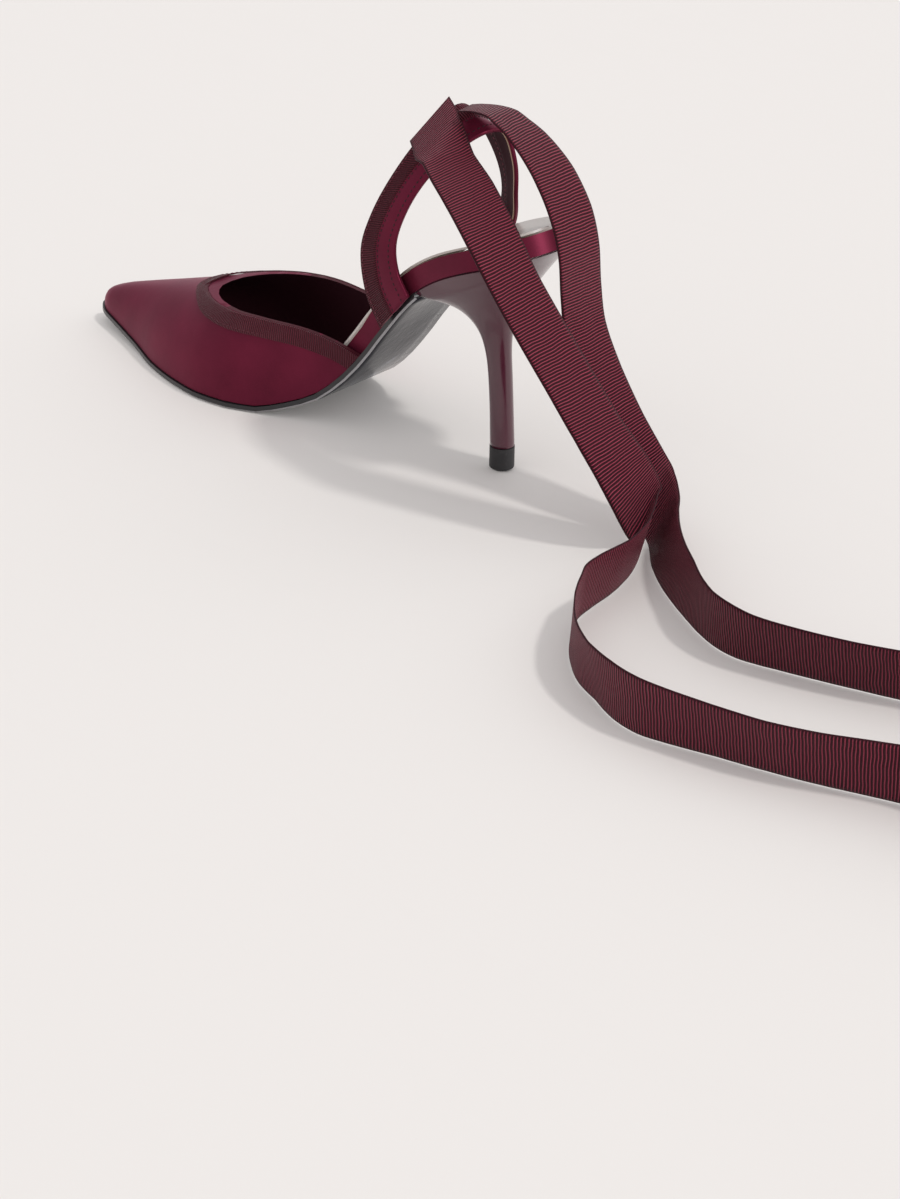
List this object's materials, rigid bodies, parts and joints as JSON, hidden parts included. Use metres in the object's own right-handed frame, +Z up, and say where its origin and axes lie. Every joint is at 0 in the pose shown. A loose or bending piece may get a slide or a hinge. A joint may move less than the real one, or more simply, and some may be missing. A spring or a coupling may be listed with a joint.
{
  "type": "backless pump",
  "caption": "Pointed satin pump with a slim high heel, open sides and a sling behind the ankle that carries long tie ribbons.",
  "frame": {"origin": "centre of the heel tip's underside, on the floor", "axes": "+Y from the heel to the toe, +X to the outer (lateral) side of the right foot, +Z up"},
  "size_m": [0.1563, 0.5263, 0.137],
  "materials": {
    "satin": "wine satin",
    "grosgrain": "ribbed dark wine grosgrain",
    "lacquer": "glossy dark wine lacquer",
    "sole": "smooth glossy grey sole sheet",
    "rubber": "matt black",
    "sock": "pale silvery lining leather"
  },
  "bodies": {
    "root": {"outsole": "sole", "insole_board": "satin", "heel_sock": "sock", "vamp": "satin", "topline_binding": "grosgrain", "heel": "lacquer", "toplift": "rubber", "sling": "satin", "ribbon_rear_tail": "grosgrain", "ribbon_front_tail": "grosgrain", "ribbon_rear_end": "satin", "ribbon_front_end": "satin"}
  },
  "joints": []
}
